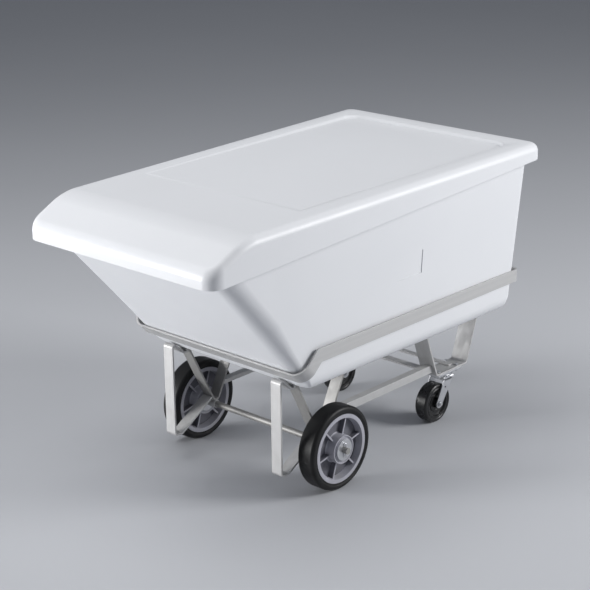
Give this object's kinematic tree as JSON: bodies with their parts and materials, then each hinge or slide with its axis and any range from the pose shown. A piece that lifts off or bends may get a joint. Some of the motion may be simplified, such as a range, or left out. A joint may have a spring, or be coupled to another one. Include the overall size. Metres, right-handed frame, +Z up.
{
  "type": "lidded tub truck",
  "caption": "Shovel-nose moulded tub with a lift-off fitted lid, strapped into a bent flat-bar undercarriage with fixed main wheels near the nose and swivel casters at the rear.",
  "frame": {"origin": "middle of the footprint box on the floor", "axes": "+Z up, nose towards -Y, +X to the left of someone who pushes from the rear; the long side is along Y"},
  "size_m": [0.782, 1.408, 0.888],
  "materials": {
    "white_poly": "moulded polyethylene, soft satin with faint orange peel",
    "bare_bar": "bare mill-finish flat bar, lightly brushed along its length",
    "zinc_steel": "zinc plated, satin",
    "cast_core": "cast wheel core, satin grey",
    "black_core": "moulded black, satin",
    "tyre": "solid rubber tread"
  },
  "bodies": {
    "frame": {"tub": "white_poly", "band": "bare_bar", "nose_band": "bare_bar", "front_leg_left": "bare_bar", "front_leg_right": "bare_bar", "v_strap_left": "bare_bar", "v_strap_right": "bare_bar", "under_rail_left": "bare_bar", "under_rail_right": "bare_bar", "lower_rail_left": "bare_bar", "lower_rail_right": "bare_bar", "rail_cross_bar": "bare_bar", "strap_cross_bar": "bare_bar", "caster_strap_left": "bare_bar", "caster_strap_right": "bare_bar", "axle": "zinc_steel", "axle_sleeve_left": "bare_bar", "axle_sleeve_right": "bare_bar", "hub_washers": "zinc_steel", "cotter_pins": "zinc_steel", "caster_plate_left": "zinc_steel", "caster_plate_right": "zinc_steel", "caster_bolts_left": "zinc_steel", "caster_bolts_right": "zinc_steel", "kingpin_left": "zinc_steel", "kingpin_right": "zinc_steel"},
    "lid": {"lid": "white_poly"},
    "main_wheel_left": {"main_tyre_left": "tyre", "main_core_left": "cast_core", "main_bush_left": "zinc_steel"},
    "caster_swivel_left": {"caster_fork_left": "zinc_steel", "caster_axle_left": "zinc_steel"},
    "caster_wheel_left": {"caster_core_left": "black_core", "caster_tyre_left": "tyre"},
    "main_wheel_right": {"main_tyre_right": "tyre", "main_core_right": "cast_core", "main_bush_right": "zinc_steel"},
    "caster_swivel_right": {"caster_fork_right": "zinc_steel", "caster_axle_right": "zinc_steel"},
    "caster_wheel_right": {"caster_core_right": "black_core", "caster_tyre_right": "tyre"}
  },
  "joints": [
    {"name": "lid_lift", "type": "slide", "parent": "frame", "child": "lid", "axis": [0, 0, 1], "range_m": [0, 0.4]},
    {"name": "main_wheel_spin_left", "type": "hinge", "parent": "frame", "child": "main_wheel_left", "pos_m": [0.279, -0.146, 0.127], "axis": [1, 0, 0], "continuous": true},
    {"name": "caster_turn_left", "type": "hinge", "parent": "frame", "child": "caster_swivel_left", "pos_m": [0.196, 0.474, 0.15], "axis": [0, 0, 1], "continuous": true},
    {"name": "caster_spin_left", "type": "hinge", "parent": "caster_swivel_left", "child": "caster_wheel_left", "pos_m": [0.196, 0.425, 0.0635], "axis": [1, 0, 0], "continuous": true},
    {"name": "main_wheel_spin_right", "type": "hinge", "parent": "frame", "child": "main_wheel_right", "pos_m": [-0.279, -0.146, 0.127], "axis": [1, 0, 0], "continuous": true},
    {"name": "caster_turn_right", "type": "hinge", "parent": "frame", "child": "caster_swivel_right", "pos_m": [-0.196, 0.474, 0.15], "axis": [0, 0, 1], "continuous": true},
    {"name": "caster_spin_right", "type": "hinge", "parent": "caster_swivel_right", "child": "caster_wheel_right", "pos_m": [-0.196, 0.425, 0.0635], "axis": [1, 0, 0], "continuous": true}
  ]
}
